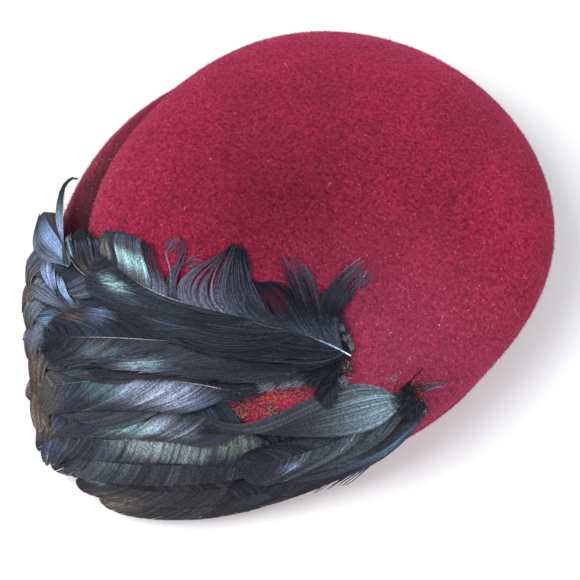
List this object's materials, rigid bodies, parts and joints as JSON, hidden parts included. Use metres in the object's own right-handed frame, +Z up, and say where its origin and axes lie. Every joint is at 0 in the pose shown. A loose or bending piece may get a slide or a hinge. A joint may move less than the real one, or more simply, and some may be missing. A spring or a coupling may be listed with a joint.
{
  "type": "fascinator hat with feathers",
  "caption": "Low round crown of crimson velour felt with a rolled brim wide in front, dressed with a swept pad of dark iridescent cock feathers over the front and one side.",
  "frame": {"origin": "middle of the whole hat's box, on the plane of the hem that it rests on", "axes": "+Z up through the crown, -Y to the wide front of the brim, +X to the side from which the feathers sweep"},
  "size_m": [0.213, 0.2622, 0.0631],
  "materials": {
    "felt": "brushed velour felt, short nap, deep crimson with a pink bloom at a flat angle",
    "feather_navy": "near-black navy feather, fine barbs, faint blue sheen",
    "feather_slate": "dark slate feather, fine barbs, faint grey sheen",
    "feather_smoke": "smoky grey-brown feather edges and down",
    "feather_brown": "brown, slightly see-through feather ends",
    "feather_blue": "dark feather with a steel-blue iridescent sheen",
    "feather_violet": "dark feather with a violet to teal iridescent sheen",
    "feather_teal": "dark feather with a teal to green-grey iridescent sheen"
  },
  "bodies": {
    "root": {"felt_body": "felt", "rim_feather_1": "feather_smoke", "rim_feather_2": "feather_smoke", "front_feather_1": "feather_slate", "front_feather_2": "feather_teal", "front_feather_3": "feather_teal", "front_feather_4": "feather_brown", "front_feather_5": "feather_violet", "left_feather_1": "feather_brown", "left_feather_2": "feather_slate", "fan_feather_1": "feather_blue", "fan_feather_2": "feather_blue", "fan_feather_3": "feather_violet", "fan_feather_4": "feather_blue", "fan_feather_5": "feather_blue", "fan_feather_6": "feather_smoke", "side_feather_1": "feather_smoke", "side_feather_2": "feather_blue", "side_feather_3": "feather_slate", "side_feather_4": "feather_teal", "down_feather_1": "feather_slate", "top_feather_1": "feather_slate", "top_feather_2": "feather_navy", "down_feather_2": "feather_smoke", "top_feather_3": "feather_navy"}
  },
  "joints": []
}
